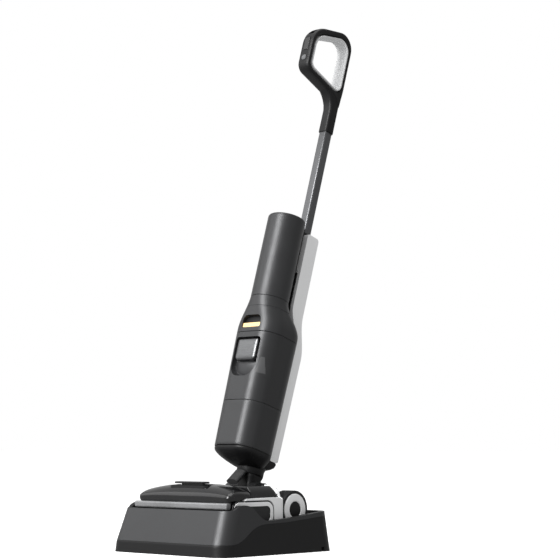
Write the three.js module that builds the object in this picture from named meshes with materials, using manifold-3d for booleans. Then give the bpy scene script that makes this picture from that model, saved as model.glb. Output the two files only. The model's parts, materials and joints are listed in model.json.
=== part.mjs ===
// Cordless upright wet and dry floor washer, standing in its charging and self-cleaning dock.
// Millimetres, +Z up. The origin is on the floor under the middle of the dock; the brush end faces -Y.
// The upright machine is drawn straight up in a frame of its own, with the neck pivot as its origin,
// and that frame is leaned back into its parking place in the dock.
import * as THREE from 'three';
import { mergeVertices } from 'three/addons/utils/BufferGeometryUtils.js';
import Module from 'manifold-3d';

const wasm = await Module();
wasm.setup();

// ---------------------------------------------------------------- driving dimensions
const GAP = 0.35;                                   // clearance between neighbouring pieces
const WALL = 2.6;                                   // wall of a moulded shell
const LEAN = THREE.MathUtils.degToRad(17);
const PIVOT = { y: 66, z: 117 };                    // neck tilt axis

const DOCK = {
  halfWidth: 152.5, halfDepth: 152.5, corner: 32, topZ: 110,
  frontSlope: 0.37, sideSlope: 0.09, rearSlope: 0.08,
  skin: 3, cavityHalf: 137, cavityFront: -107.5, cavityRear: 143, floorZ: 44.6, rimZ: 84.5,
  underHalf: 141, underFront: -118, underHeight: 38,
};
const HEAD = { half: 121, capHalf: 130.5, front: -42, rear: 29, bottomZ: 50, topZ: 100 };
const REAR_SHELL_TOP = 127.5;
const COVER = { front: -110, rear: -47, half: 126, lowZ: 98, crownZ: 131.5, endZ: 119, wall: 3 };
const ROLLER = { y: -72, z: 73, radius: 27, core: 20, half: 112, shaft: 5 };
const BRUSH_MOTOR = { y: -14, z: 74, radius: 17, pulley: 9 };
const PULLEY = { start: 121.8, end: 125.8, roller: 14 };
const WHEEL = { y: 70, z: 81.5, radius: 36.5, rim: 30.5, inner: 96.5, outer: 128.5, axle: 4 };
const LUG = { inner: 37, outer: 49, radius: 14, pin: 6 };

const TUBE = { radius: 39.5, y: -48, top: 567, bottom: 384.8 };
const SHOULDER = { top: 388, bottom: 316 };         // where the round tube swells into the square body
const HOUSING = { top: 384.4, bottom: 305.9 };
const TANK = { top: 305.5, seam: 162, bottom: 69.6 };
const UPPER = { half: 57, front: -83, back: 18.5, corner: 35 };    // body section at the shoulder
const LOWER = { half: 51.5, front: -80, back: 16.4, corner: 32 };  // body section at the tank's foot
const FRAME = { half: 20, gap: 0.5, thick: 3, top: 462 };
const CLEAN = { half: 27, top: 549.5, bottom: 66.5, lowBack: 44.7, midBack: 49.6, highBack: 30 };
const SOCKET = { half: 13.8, bottom: 464, top: 556, front: -8, back: 24.3 };
const STICK = { half: 10.5, corner: 4.5, y: 10.6, wall: 1.8, bottom: 470, top: 822 };
const GRIP = { half: 15, bevel: 4, stem: 12.5, stemBottom: 793, front: -101, back: 23.2 };
const LINER_DEPTH = 6;

// ---------------------------------------------------------------- finishes
const finish = (color, roughness, metalness = 0, extra = {}) =>
  new THREE.MeshStandardMaterial({ color, roughness, metalness, ...extra });
const FINISH = {
  shell: () => finish(0x5a5c5e, 0.38, 0.6),
  black: () => finish(0x1d1e20, 0.42),
  gloss: () => finish(0x101113, 0.16),
  silver: () => finish(0xc6c8c9, 0.4, 0.15),
  smoked: () => finish(0x3c3e41, 0.15, 0.1, { transparent: true, opacity: 0.8 }),
  brushed: () => finish(0xb4b6b8, 0.3, 0.8),
  steel: () => finish(0xb9bbbd, 0.25, 1),
  rubber: () => finish(0x17181a, 0.85),
  nap: () => finish(0x6f7377, 0.95),
  amber: () => finish(0xf5c26b, 0.3),
  board: () => finish(0x22533a, 0.6),
  cells: () => finish(0x3d6f9e, 0.5),
};

// ---------------------------------------------------------------- scene graph and booleans
const object = new THREE.Group();
const machine = new THREE.Group();
machine.position.set(0, PIVOT.y, PIVOT.z);
machine.rotation.x = -LEAN;
object.add(machine);

function toSolid(geometry) {
  geometry.deleteAttribute('normal');
  geometry.deleteAttribute('uv');
  const merged = mergeVertices(geometry, 1e-3);
  return new wasm.Manifold(new wasm.Mesh({
    numProp: 3,
    vertProperties: new Float32Array(merged.attributes.position.array),
    triVerts: new Uint32Array(merged.index.array),
  }));
}

function add(group, name, solid, material) {
  const { vertProperties, triVerts } = solid.getMesh();
  const geometry = new THREE.BufferGeometry();
  geometry.setAttribute('position', new THREE.BufferAttribute(new Float32Array(vertProperties), 3));
  geometry.setIndex(new THREE.BufferAttribute(new Uint32Array(triVerts), 1));
  const mesh = new THREE.Mesh(geometry, material);
  mesh.name = name;
  group.add(mesh);
}

const cut = (base, ...tools) => tools.reduce((left, tool) => left.subtract(tool), base);
const join = (first, ...others) => others.reduce((sum, other) => sum.add(other), first);

// ---------------------------------------------------------------- shape helpers
function box(x0, x1, y0, y1, z0, z1) {
  const geometry = new THREE.BoxGeometry(x1 - x0, y1 - y0, z1 - z0);
  geometry.translate((x0 + x1) / 2, (y0 + y1) / 2, (z0 + z1) / 2);
  return toSolid(geometry);
}

function barX(radius, x0, x1, y, z, sides = 24) {
  const geometry = new THREE.CylinderGeometry(radius, radius, x1 - x0, sides);
  geometry.rotateZ(-Math.PI / 2);
  geometry.translate((x0 + x1) / 2, y, z);
  return toSolid(geometry);
}

function barY(radius, y0, y1, x, z, sides = 24) {
  const geometry = new THREE.CylinderGeometry(radius, radius, y1 - y0, sides);
  geometry.translate(x, (y0 + y1) / 2, z);
  return toSolid(geometry);
}

function barZ(radius, z0, z1, x, y, sides = 24) {
  const geometry = new THREE.CylinderGeometry(radius, radius, z1 - z0, sides);
  geometry.rotateX(Math.PI / 2);
  geometry.translate(x, y, (z0 + z1) / 2);
  return toSolid(geometry);
}

// Turns corners given as [y, z, radius] into a smooth closed outline.
function rounded(corners, steps = 6) {
  const points = [];
  corners.forEach(([y, z, radius = 0], i) => {
    const corner = new THREE.Vector2(y, z);
    if (!radius) {
      points.push(corner);
      return;
    }
    const [previousY, previousZ] = corners[(i + corners.length - 1) % corners.length];
    const [nextY, nextZ] = corners[(i + 1) % corners.length];
    const before = new THREE.Vector2(previousY, previousZ).sub(corner).normalize();
    const after = new THREE.Vector2(nextY, nextZ).sub(corner).normalize();
    const half = Math.acos(THREE.MathUtils.clamp(before.dot(after), -1, 1)) / 2;
    const centre = before.clone().add(after).normalize().multiplyScalar(radius / Math.sin(half)).add(corner);
    const start = before.multiplyScalar(radius / Math.tan(half)).add(corner).sub(centre);
    const end = after.multiplyScalar(radius / Math.tan(half)).add(corner).sub(centre);
    const sweep = Math.atan2(start.cross(end), start.dot(end));
    for (let step = 0; step <= steps; step += 1) {
      points.push(start.clone().rotateAround(new THREE.Vector2(), (sweep * step) / steps).add(centre));
    }
  });
  return points;
}

// Extrudes an outline in the Y-Z plane along X.
function sideways(points, x0, x1, bevel = 0) {
  const outline = points.map((point) => (point.isVector2 ? point : new THREE.Vector2(point[0], point[1])));
  const geometry = new THREE.ExtrudeGeometry(new THREE.Shape(outline), {
    depth: x1 - x0 - 2 * bevel, steps: 1,
    bevelEnabled: bevel > 0, bevelThickness: bevel, bevelSize: bevel, bevelOffset: -bevel, bevelSegments: 2,
  });
  geometry.applyMatrix4(new THREE.Matrix4().makeBasis(
    new THREE.Vector3(0, 1, 0), new THREE.Vector3(0, 0, 1), new THREE.Vector3(1, 0, 0)));
  geometry.translate(x0 + bevel, 0, 0);
  return toSolid(geometry);
}

const panel = (y0, y1, z0, z1, radius) => rounded(
  [[y0, z0, radius], [y1, z0, radius], [y1, z1, radius], [y0, z1, radius]], 4);

// Outline of a rounded rectangle: a circle when both half sizes equal the corner radius.
function ring(halfX, halfY, corner, x, y, steps = 6) {
  const points = [];
  for (let quarter = 0; quarter < 4; quarter += 1) {
    const signX = quarter === 0 || quarter === 3 ? 1 : -1;
    const signY = quarter < 2 ? 1 : -1;
    for (let step = 0; step < steps; step += 1) {
      const angle = ((quarter + (step + 0.5) / steps) * Math.PI) / 2;
      points.push([
        x + signX * (halfX - corner) + corner * Math.cos(angle),
        y + signY * (halfY - corner) + corner * Math.sin(angle)]);
    }
  }
  return points;
}

// Skins a stack of outlines and closes both ends. `place` puts an outline point and its level in space.
const UP = (a, b, level) => [a, b, level];
const ALONG_X = (a, b, level) => [level, a, b];
function loft(stack, place = UP) {
  const count = stack[0].points.length;
  const position = stack.flatMap(({ level, points }) => points.flatMap(([a, b]) => place(a, b, level)));
  const index = [];
  for (let row = 0; row < stack.length - 1; row += 1) {
    for (let i = 0; i < count; i += 1) {
      const a = row * count + i;
      const b = row * count + ((i + 1) % count);
      index.push(a, b, b + count, a, b + count, a + count);
    }
  }
  const last = (stack.length - 1) * count;
  for (let i = 1; i < count - 1; i += 1) {
    index.push(0, i + 1, i, last, last + i, last + i + 1);
  }
  const geometry = new THREE.BufferGeometry();
  geometry.setAttribute('position', new THREE.BufferAttribute(new Float32Array(position), 3));
  geometry.setIndex(index);
  return toSolid(geometry);
}

const mix = (a, b, share) => a + (b - a) * share;
const smooth = (value, low, high) => {
  const share = THREE.MathUtils.clamp((value - low) / (high - low), 0, 1);
  return share * share * (3 - 2 * share);
};
const range = (start, end, steps) => Array.from({ length: steps + 1 }, (_, i) => mix(start, end, i / steps));

// ---------------------------------------------------------------- dock
function dockBody(inset = 0) {
  const plan = (z) => {
    const front = -DOCK.halfDepth + DOCK.frontSlope * z + inset;
    const rear = DOCK.halfDepth - DOCK.rearSlope * z - inset;
    const half = DOCK.halfWidth - DOCK.sideSlope * z - inset;
    return ring(half, (rear - front) / 2, DOCK.corner - inset, 0, (rear + front) / 2);
  };
  return loft([{ level: 0, points: plan(0) }, { level: DOCK.topZ, points: plan(DOCK.topZ) }]);
}

// Rim height along the dock: a hump over each front corner, then a long S down and a rise to the rear.
const RIM = [[-160, DOCK.rimZ], [-117, DOCK.rimZ], [-108, 91], [-98, 94], [-80, 92.5], [-68, 87], [-56, 76],
  [-44, 67.5], [-30, 63.6], [40, 68], [130, 77], [160, 77.5]];
// Height of the seam between the black tray and the metallic shell.
const SEAM = [[-160, 23], [-128, 23], [-112, 26], [-98, 32.5], [-72, 49], [-56, 55], [-38, 57.6], [20, 59.5],
  [130, 68], [160, 69.5]];
const below = (line, drop = 0) => sideways(
  [[-160, -5], [160, -5], ...line.map(([y, z]) => [y, z - drop]).reverse()], -170, 170);

function buildDock() {
  const { cavityHalf, cavityFront, cavityRear, underHalf, underFront } = DOCK;
  const well = (front, rear, corner) => loft([DOCK.floorZ, 130].map((level) => (
    { level, points: ring(cavityHalf, (rear - front) / 2, corner, 0, (front + rear) / 2) })));
  const cavity = join(
    well(cavityFront, 60, 12),
    well(-60, cavityRear, 26),
    box(-cavityHalf, cavityHalf, -160, 60, DOCK.rimZ, 130),
    barX(ROLLER.radius + 3.6, -cavityHalf, cavityHalf, ROLLER.y, ROLLER.z, 32));
  const hollow = box(-underHalf, underHalf, underFront, underHalf, -1, DOCK.underHeight);
  const cableNotch = box(underHalf - 5, 160, 114, 122, -1, 9);
  const tray = join(
    dockBody().intersect(below(SEAM, GAP)),
    dockBody(DOCK.skin + GAP).intersect(below(RIM, GAP)));
  add(object, 'dock_base', cut(tray, cavity, hollow, cableNotch), FINISH.black());

  const band = dockBody().intersect(below(RIM)).subtract(below(SEAM));
  add(object, 'dock_shell', cut(band, dockBody(DOCK.skin), cavity), FINISH.shell());

  const plate = box(-underHalf + 0.5, underHalf - 0.5, underFront + 0.5, underHalf - 0.5, 0, 3);
  add(object, 'dock_bottom_plate', plate, FINISH.rubber());

  const scroll = join(barZ(30, 8, 32, -60, 60), box(-90, -60, 60, 96, 8, 30));
  add(object, 'dock_drying_fan', cut(scroll, barZ(18, 28, 33, -60, 60)), FINISH.black());
  add(object, 'dock_power_board', box(10, 96, 66, 106, 8, 10), FINISH.board());
  const socket = box(122, 145, 114, 122, 4, 9);
  add(object, 'dock_power_inlet', cut(box(114, 138, 108, 128, 3.4, 18), socket), FINISH.rubber());
}

// ---------------------------------------------------------------- floor head
function buildHeadCasing() {
  const { half, front, rear, bottomZ, topZ, capHalf } = HEAD;
  const tray = cut(box(-half, half, front, rear, bottomZ, topZ),
    box(-half + 3, half - 3, front + 3, rear - 3, bottomZ + 3, topZ + 1));
  const cheek = [[-84, 52], [-103, 70], [-103, 88], [-99, 97], [front + 1, 97], [front + 1, 54]];
  const cheeks = [-half, half - 3.5].map((x0) => sideways(cheek, x0, x0 + 3.5));
  const shaftHoles = barX(ROLLER.shaft + 0.6, -half - 1, half + 1, ROLLER.y, ROLLER.z);
  const motorHole = barX(3.4, half - 5, half + 1, BRUSH_MOTOR.y, BRUSH_MOTOR.z, 16);
  const suctionMouth = box(-66, -28, front - 1, front + 4, 58, 94);
  const casing = cut(join(tray, ...cheeks), shaftHoles, motorHole, suctionMouth);
  add(object, 'head_base', casing, FINISH.black());

  const bumper = sideways(panel(-119, -106, 85.3, 97.6, 3.5), -half - 6, half + 6, 2);
  add(object, 'head_bumper', bumper, FINISH.nap());

  const shellLine = (inset) => [
    [front - 3.5 + inset, topZ - 20 * inset + GAP],
    [rear - inset, topZ - 20 * inset + GAP],
    [rear - inset, 112],
    [rear - 8 - inset, 121 - inset],
    [12, REAR_SHELL_TOP - inset],
    [front - 3.5 + inset, REAR_SHELL_TOP - inset]];
  const shellRoom = sideways(shellLine(WALL), -half + 4, half - 4);
  add(object, 'rear_shell', cut(sideways(shellLine(0), -half, half, 3), shellRoom), FINISH.gloss());

  const capWindow = (x0, x1) => sideways(panel(-120, 8.9, 40, 101.4, 19), x0, x1);
  for (const [side, x0, x1] of [['left', -capHalf, -half - GAP], ['right', half + GAP, capHalf]]) {
    const trimLine = [[-84, 53], [rear, 53], [rear, 103], [24, 106], [-64, 105], [-84, 96]];
    const trim = cut(sideways(trimLine, x0, x1, 1.2), capWindow(x0 - 1, x1 + 1));
    add(object, `side_trim_${side}`, trim, FINISH.silver());
    const inner = x0 < 0 ? [x1 - 5.2, x1 + 1] : [x0 - 1, x0 + 5.2];
    const beltRoom = box(...inner, -94, 1, 56.5, 92);
    const cap = sideways(panel(-105, 8.5, 52, 101, 19), x0, x1, 1.2);
    add(object, `end_cap_${side}`, cut(cap, beltRoom), FINISH.black());
  }

  const arch = (halfX, top) => loft([rear + GAP, rear + 4].map((level) => (
    { level, points: ring((top - 40) / 2, halfX, 18, (top + 40) / 2, 0) })), (a, b, level) => [b, level, a]);
  const archInner = arch(half + 1, 121.5).scale([1, 1.5, 1]).translate([0, -10, 0]);
  const footRoom = box(-140, 140, 20, 50, 20, 53);
  add(object, 'rear_trim', cut(arch(capHalf, 128.5), archInner, footRoom), FINISH.silver());
}

function buildTail() {
  const front = HEAD.rear + 4 + GAP;
  const block = box(-88, 88, front, 92, 62, 100);
  const { radius } = LUG;
  const lugs = [[-LUG.outer, -LUG.inner], [LUG.inner, LUG.outer]].map(([x0, x1]) => join(
    barX(radius, x0, x1, PIVOT.y, PIVOT.z),
    box(x0, x1, PIVOT.y - radius, PIVOT.y + radius, 95, PIVOT.z)));
  const bores = join(barX(LUG.pin + GAP, -60, 60, PIVOT.y, PIVOT.z),
    barX(WHEEL.axle + GAP, -100, 100, WHEEL.y, WHEEL.z, 16));
  add(object, 'tail_frame', cut(join(block, ...lugs), bores), FINISH.gloss());

  for (const [side, sign] of [['left', -1], ['right', 1]]) {
    const span = (a, b) => [Math.min(sign * a, sign * b), Math.max(sign * a, sign * b)];
    const pin = join(barX(LUG.pin, ...span(24, 51), PIVOT.y, PIVOT.z, 20),
      barX(9, ...span(LUG.outer + GAP, 53), PIVOT.y, PIVOT.z));
    add(object, `pivot_pin_${side}`, pin, FINISH.steel());
    const hubBore = barX(WHEEL.axle + GAP, ...span(90, 126), WHEEL.y, WHEEL.z, 16);
    const tyre = cut(barX(WHEEL.radius, ...span(WHEEL.inner, WHEEL.outer - 1), WHEEL.y, WHEEL.z, 40),
      barX(WHEEL.rim + GAP, ...span(WHEEL.inner - 1, WHEEL.outer + 1), WHEEL.y, WHEEL.z, 32));
    const disc = cut(barX(WHEEL.rim, ...span(WHEEL.inner + 1, WHEEL.outer), WHEEL.y, WHEEL.z, 32), hubBore);
    add(object, `tyre_${side}`, tyre, FINISH.rubber());
    add(object, `wheel_disc_${side}`, disc, FINISH.silver());
  }
  add(object, 'wheel_axle', barX(WHEEL.axle, -125, 125, WHEEL.y, WHEEL.z, 16), FINISH.steel());
}

// Outline round two pulleys of different size, as a belt lies on them.
function beltLine(radius1, radius2, y1, z1, y2, z2) {
  const length = Math.hypot(y2 - y1, z2 - z1);
  const heading = Math.atan2(z2 - z1, y2 - y1);
  const wrap = Math.acos((radius1 - radius2) / length);
  const arc = (radius, y, z, from, to) => range(from, to, 10).map((angle) => (
    [y + radius * Math.cos(heading + angle), z + radius * Math.sin(heading + angle)]));
  return [...arc(radius1, y1, z1, wrap, 2 * Math.PI - wrap), ...arc(radius2, y2, z2, -wrap, wrap)];
}

function buildDrive() {
  const { start, end } = PULLEY;
  const core = join(barX(ROLLER.core, -ROLLER.half - 2, ROLLER.half + 2, ROLLER.y, ROLLER.z, 32),
    barX(ROLLER.shaft, -HEAD.half - 3, start + 1, ROLLER.y, ROLLER.z, 20),
    barX(PULLEY.roller, start, end, ROLLER.y, ROLLER.z, 24));
  add(object, 'roller_core', core, FINISH.black());
  add(object, 'roller_nap', cut(barX(ROLLER.radius, -ROLLER.half, ROLLER.half, ROLLER.y, ROLLER.z, 40),
    barX(ROLLER.core + GAP, -120, 120, ROLLER.y, ROLLER.z, 32)), FINISH.nap());

  const { y, z } = BRUSH_MOTOR;
  add(object, 'brush_motor', barX(BRUSH_MOTOR.radius, -18, 102, y, z), FINISH.steel());
  const pulley = join(barX(BRUSH_MOTOR.pulley, start, end, y, z, 20), barX(3, 104, start + 1, y, z, 16));
  add(object, 'motor_pulley', pulley, FINISH.steel());
  const { y: rollerY, z: rollerZ } = ROLLER;
  const loop = (grow) => beltLine(PULLEY.roller + grow, BRUSH_MOTOR.pulley + grow, rollerY, rollerZ, y, z);
  const belt = cut(sideways(loop(2), start + 0.3, end - 0.3), sideways(loop(GAP), start - 1, end + 1));
  add(object, 'drive_belt', belt, FINISH.rubber());
  add(object, 'roller_scraper', box(-110, 110, -46, HEAD.front - GAP, 84, 88), FINISH.rubber());
  add(object, 'suction_duct', cut(box(-70, -24, HEAD.front + 3.5, 22, 56, 98),
    box(-66, -28, HEAD.front, 30, 59, 95)), FINISH.black());
}

function buildCover() {
  const line = (x, drop) => {
    const top = mix(COVER.crownZ, COVER.endZ, (Math.abs(x) / COVER.half) ** 3) - drop;
    return [
      [COVER.rear - drop, COVER.lowZ - drop],
      [COVER.rear - drop, top],
      [-70, top + 0.4],
      [-92, top - 3],
      [-104 + drop / 2, top - 8],
      [COVER.front + drop, COVER.lowZ + 11],
      [COVER.front + 2 + drop, COVER.lowZ - drop]];
  };
  const crown = (drop, half) => loft([-1, -0.9, -0.7, -0.4, 0, 0.4, 0.7, 0.9, 1].map((share) => (
    { level: share * half, points: line(share * half, drop) })), ALONG_X);
  const fingerBoss = box(-50, 50, -98, -64, 121, 129);
  const fingerRoom = box(-48, 48, -96, -66, 124, 140);
  const shell = cut(crown(0, COVER.half), crown(COVER.wall, COVER.half - 4));
  const overTrim = [[-130, 80], [20, 80], [20, 107], [-63, 106.4], [-86, 101.6], [-130, 101.6]];
  const seat = HEAD.half - 0.4;
  const seats = [[-140, -seat], [seat, 140]].map(([x0, x1]) => sideways(overTrim, x0, x1));
  add(object, 'brush_cover', cut(join(shell, fingerBoss), fingerRoom, ...seats), FINISH.gloss());
  const tab = join(box(-40, 40, -94, -74, 132.4, 136), box(-30, 30, -84, -77, 124.5, 133));
  add(object, 'cover_latch', tab, FINISH.gloss());
}

// ---------------------------------------------------------------- neck (drawn in the machine's frame)
function buildNeck() {
  const column = loft([
    { level: 0, points: ring(22, 17, 10, 0, 0) },
    { level: 29, points: ring(22, 17, 10, 0, 0) }]);
  const barrel = barX(16, -LUG.inner + 0.5, LUG.inner - 0.5, 0, 0, 28);
  add(machine, 'neck_yoke', cut(join(column, barrel), barX(LUG.pin + GAP, -40, 40, 0, 0)), FINISH.black());

  const extrudePath = new THREE.LineCurve3(new THREE.Vector3(0, -40, 11), new THREE.Vector3(0, -26, 28));
  const hoseSection = new THREE.Shape(range(0, 2 * Math.PI, 16).slice(0, 16).map((angle) => (
    new THREE.Vector2(15 * Math.cos(angle), 7 * Math.sin(angle)))));
  const hose = new THREE.ExtrudeGeometry(hoseSection, { extrudePath, steps: 1, bevelEnabled: false });
  add(machine, 'neck_hose', toSolid(hose), FINISH.rubber());
}

// ---------------------------------------------------------------- upright body (in the machine's frame)
// Half width, front, back and corner radius of the body's outline at a height above the pivot.
function bodySection(level, inset = 0) {
  const up = smooth(level, SHOULDER.bottom, SHOULDER.top);
  const down = THREE.MathUtils.clamp((TANK.top - level) / (TANK.top - TANK.bottom), 0, 1);
  const pick = (key, tube) => mix(mix(UPPER[key], LOWER[key], down), tube, up);
  const front = pick('front', TUBE.y - TUBE.radius) + inset;
  const back = pick('back', TUBE.y + TUBE.radius) - inset;
  const half = pick('half', TUBE.radius) - inset;
  const corner = Math.min(pick('corner', TUBE.radius) - inset, half);
  return ring(half, (back - front) / 2, corner, 0, (front + back) / 2);
}
const bodyLoft = (levels, inset = 0) => loft(levels.map((level) => (
  { level, points: bodySection(level, inset) })));
function backOf(level) {
  const down = THREE.MathUtils.clamp((TANK.top - level) / (TANK.top - TANK.bottom), 0, 1);
  const up = smooth(level, SHOULDER.bottom, SHOULDER.top);
  return mix(mix(UPPER.back, LOWER.back, down), TUBE.y + TUBE.radius, up);
}

function buildTube() {
  const { radius, y, top, bottom } = TUBE;
  const bore = barZ(radius - WALL, bottom - 1, top + 1, 0, y, 40);
  add(machine, 'battery_tube', cut(barZ(radius, bottom, top, 0, y, 40), bore), FINISH.shell());
  add(machine, 'top_cap', barZ(radius - WALL - GAP, top - 9, top - 2, 0, y, 32), FINISH.gloss());
  add(machine, 'display_lens', barZ(30, top - 1.6, top - 0.2, 0, y, 32), FINISH.gloss());
  add(machine, 'battery_pack', barZ(33, 394, 472, 0, y, 12), FINISH.cells());
  add(machine, 'main_board', box(-24, 24, y - 1, y + 1, 480, 548), FINISH.board());
}

function buildHousing() {
  const levels = [HOUSING.bottom, SHOULDER.bottom, ...range(328, 376, 4), HOUSING.top];
  const outer = bodyLoft(levels);
  const inner = bodyLoft([HOUSING.bottom - 2, ...levels.slice(1, -1), HOUSING.top + 2], 3);
  const lampBoss = box(-28, 28, -90, -70, 311, 346).intersect(outer);
  const lampRoom = box(-25, 25, -95, -74, 314, 343);
  add(machine, 'motor_housing', cut(join(outer.subtract(inner), lampBoss), lampRoom), FINISH.shell());
  add(machine, 'light_bar', box(-24.5, 24.5, -83.6, -75, 315, 325.5), FINISH.amber());
  add(machine, 'suction_motor', barZ(31, 312, 348, 0, -38), FINISH.steel());
  const impeller = join(barZ(27, 352, 360, 0, -38), barZ(3, 348.5, 353, 0, -38, 12));
  add(machine, 'fan_impeller', impeller, FINISH.steel());
}

function buildFoot() {
  const bowl = loft([
    { level: 39.6, points: ring(27, 22, 20, 0, -5) },
    { level: 46, points: ring(40, 36, 28, 0, -22) },
    { level: 54, points: ring(48, 45, 31, 0, -30.5) },
    { level: 61, points: ring(51, 48, 32, 0, -31.8) },
    { level: 69.2, points: ring(51.3, 48, 32, 0, -31.8) }]);
  const chin = loft([
    { level: 45, points: ring(20, 10, 8, 0, 13) },
    { level: 56, points: ring(26, 16.5, 8, 0, 25.5) },
    { level: 65.8, points: ring(27, 18, 8, 0, 27) }]);
  const collar = barZ(24, 29.4, 40, 0, 0, 28);
  add(machine, 'bottom_shell', join(bowl, chin, collar), FINISH.gloss());
}

function buildRearFrame() {
  const levels = [TANK.bottom + 1, 200, 310, ...range(SHOULDER.bottom, SHOULDER.top, 6), FRAME.top];
  const near = levels.map((level) => [backOf(level) + FRAME.gap, level]);
  const far = levels.map((level) => [backOf(level) + FRAME.gap + FRAME.thick, level]);
  add(machine, 'rear_frame', sideways([...far, ...near.reverse()], -FRAME.half, FRAME.half), FINISH.black());
  const { half, front, back } = SOCKET;
  const socket = loft([SOCKET.bottom, SOCKET.top].map((level) => (
    { level, points: ring(half, (back - front) / 2, 5, 0, (back + front) / 2) })));
  const bore = loft([STICK.bottom - GAP, SOCKET.top + 1].map((level) => (
    { level, points: ring(STICK.half + GAP, STICK.half + GAP, STICK.corner, 0, STICK.y) })));
  add(machine, 'stick_socket', socket.subtract(bore), FINISH.black());
}

function buildDirtyTank() {
  const { top, seam, bottom } = TANK;
  const bowl = bodyLoft([bottom, bottom + 3, seam - GAP]);
  const bowlRoom = bodyLoft([bottom + WALL, seam + 2], WALL);
  add(machine, 'tank_bowl', bowl.subtract(bowlRoom), FINISH.smoked());

  const lid = bodyLoft([seam, top]);
  const pocketBoss = box(-39, 39, -90, -68, 208, 299).intersect(lid);
  const pocket = sideways(rounded([[-100, 212], [-71, 226, 6], [-71, 296], [-100, 296]]), -35, 35);
  const ceiling = lid.subtract(bodyLoft([seam - 2, top - 4], WALL));
  add(machine, 'tank_lid', cut(join(ceiling, pocketBoss), pocket), FINISH.smoked());
  add(machine, 'tank_filter', barZ(30, 262, top - 5, 0, -30), FINISH.nap());
  const intake = cut(barZ(9, bottom + WALL + 1, 240, 0, 2, 20), barZ(7, 0, 300, 0, 2, 20));
  add(machine, 'intake_tube', intake, FINISH.black());
  add(machine, 'tank_float', barZ(12, 222, 246, 26, -40, 20), FINISH.silver());
  const button = sideways([[-84.6, 246], [-73.5, 246], [-73.5, 291], [-84.6, 291]], -27.5, 27.5, 1.5);
  add(machine, 'release_button', button, FINISH.brushed());
}

function buildCleanTank() {
  const front = FRAME.gap + FRAME.thick + 0.4;
  const backLine = (level) => (level < 290
    ? mix(CLEAN.lowBack, CLEAN.midBack, (level - CLEAN.bottom) / (290 - CLEAN.bottom))
    : mix(CLEAN.midBack, CLEAN.highBack, smooth(level, 290, 375)));
  const outline = (inset, low, high) => {
    const nearLevels = [low, 310, ...range(SHOULDER.bottom, SHOULDER.top, 6), high];
    const farLevels = [low, 290, ...range(300, 375, 5), Math.min(high, CLEAN.top - 10)];
    return [
      ...farLevels.map((level) => [backLine(level) - inset, level]),
      ...(high === CLEAN.top ? [[2, high]] : [[CLEAN.highBack - inset, high]]),
      ...nearLevels.reverse().map((level) => [backOf(level) + front + inset, level])];
  };
  const body = sideways(outline(0, CLEAN.bottom, CLEAN.top), -CLEAN.half, CLEAN.half, 3);
  const room = sideways(outline(3, CLEAN.bottom + 3, 440), -CLEAN.half + 3, CLEAN.half - 3);
  const saddle = box(-SOCKET.half - 0.6, SOCKET.half + 0.6, -20, SOCKET.back + 0.6, 455, 600);
  const filler = barY(11, 30, 70, 0, 240);
  add(machine, 'clean_tank', cut(body, room, saddle, filler), FINISH.silver());
  const plug = join(barY(10.4, 40, 50, 0, 240), barY(14, backLine(240) + GAP + 0.6, 52.5, 0, 240));
  add(machine, 'filler_cap', plug, FINISH.rubber());
}

// ---------------------------------------------------------------- stick and handle (in the machine's frame)
function buildStick() {
  const tube = (half, corner, z0, z1) => loft([z0, z1].map((level) => (
    { level, points: ring(half, half, corner, 0, STICK.y, 4) })));
  const { wall, bottom, top } = STICK;
  const bore = tube(STICK.half - wall, STICK.corner - wall, bottom - 1, top + 1);
  add(machine, 'stick', cut(tube(STICK.half, STICK.corner, bottom, top), bore), FINISH.shell());
}

// Corners of the hand loop seen from the side; inset moves every edge inwards.
const OUTER_LOOP = [
  [GRIP.back, 870],
  [GRIP.back, 1036, 32],
  [GRIP.front, 994.5, 50],
  [GRIP.front, 895, 20],
  [-1.5, 876]];
const innerLoop = (inset) => [
  [16 - inset, 884.5 + inset, 18 - inset],
  [16 - inset, 1020 - 1.2 * inset, 28 - inset],
  [-90.5 + inset, 981.5 - 1.2 * inset, 38 - inset],
  [-90.5 + inset, 903 + inset, 18 - inset]];

function buildHandle() {
  const { half, bevel, stem, stemBottom } = GRIP;
  const loop = sideways(rounded(OUTER_LOOP), -half, half, bevel);
  const neck = loft([
    { level: stemBottom, points: ring(stem, stem, 6, 0, STICK.y, 4) },
    { level: 858, points: ring(stem, stem, 6, 0, STICK.y, 4) },
    { level: 886, points: ring(half, 22, 7, 0, STICK.y - 9.5, 4) }]);
  const stickHole = loft([stemBottom - 1, STICK.top + GAP].map((level) => (
    { level, points: ring(STICK.half + GAP, STICK.half + GAP, STICK.corner, 0, STICK.y, 4) })));
  const hole = sideways(rounded(innerLoop(0)), -half - 1, half + 1);
  const pockets = [box(-7.5, 7.5, -110, -98, 939, 969), barY(7, -110, -98, 0, 921, 20), cleanPocket(0.5)];
  add(machine, 'handle_grip', cut(join(loop, neck), hole, stickHole, ...pockets), FINISH.black());

  const liner = cut(sideways(rounded(innerLoop(GAP)), -half + 2, half - 2, 1.5),
    sideways(rounded(innerLoop(LINER_DEPTH)), -half, half));
  add(machine, 'handle_liner', liner, FINISH.silver());
  add(machine, 'mode_button', box(-7, 7, -102, -99.6, 939.5, 968.5), FINISH.gloss());
  add(machine, 'power_button', barY(6.5, -102, -99.6, 0, 921, 20), FINISH.brushed());
  add(machine, 'clean_button', cleanPocket(0), FINISH.gloss());
}

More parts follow.
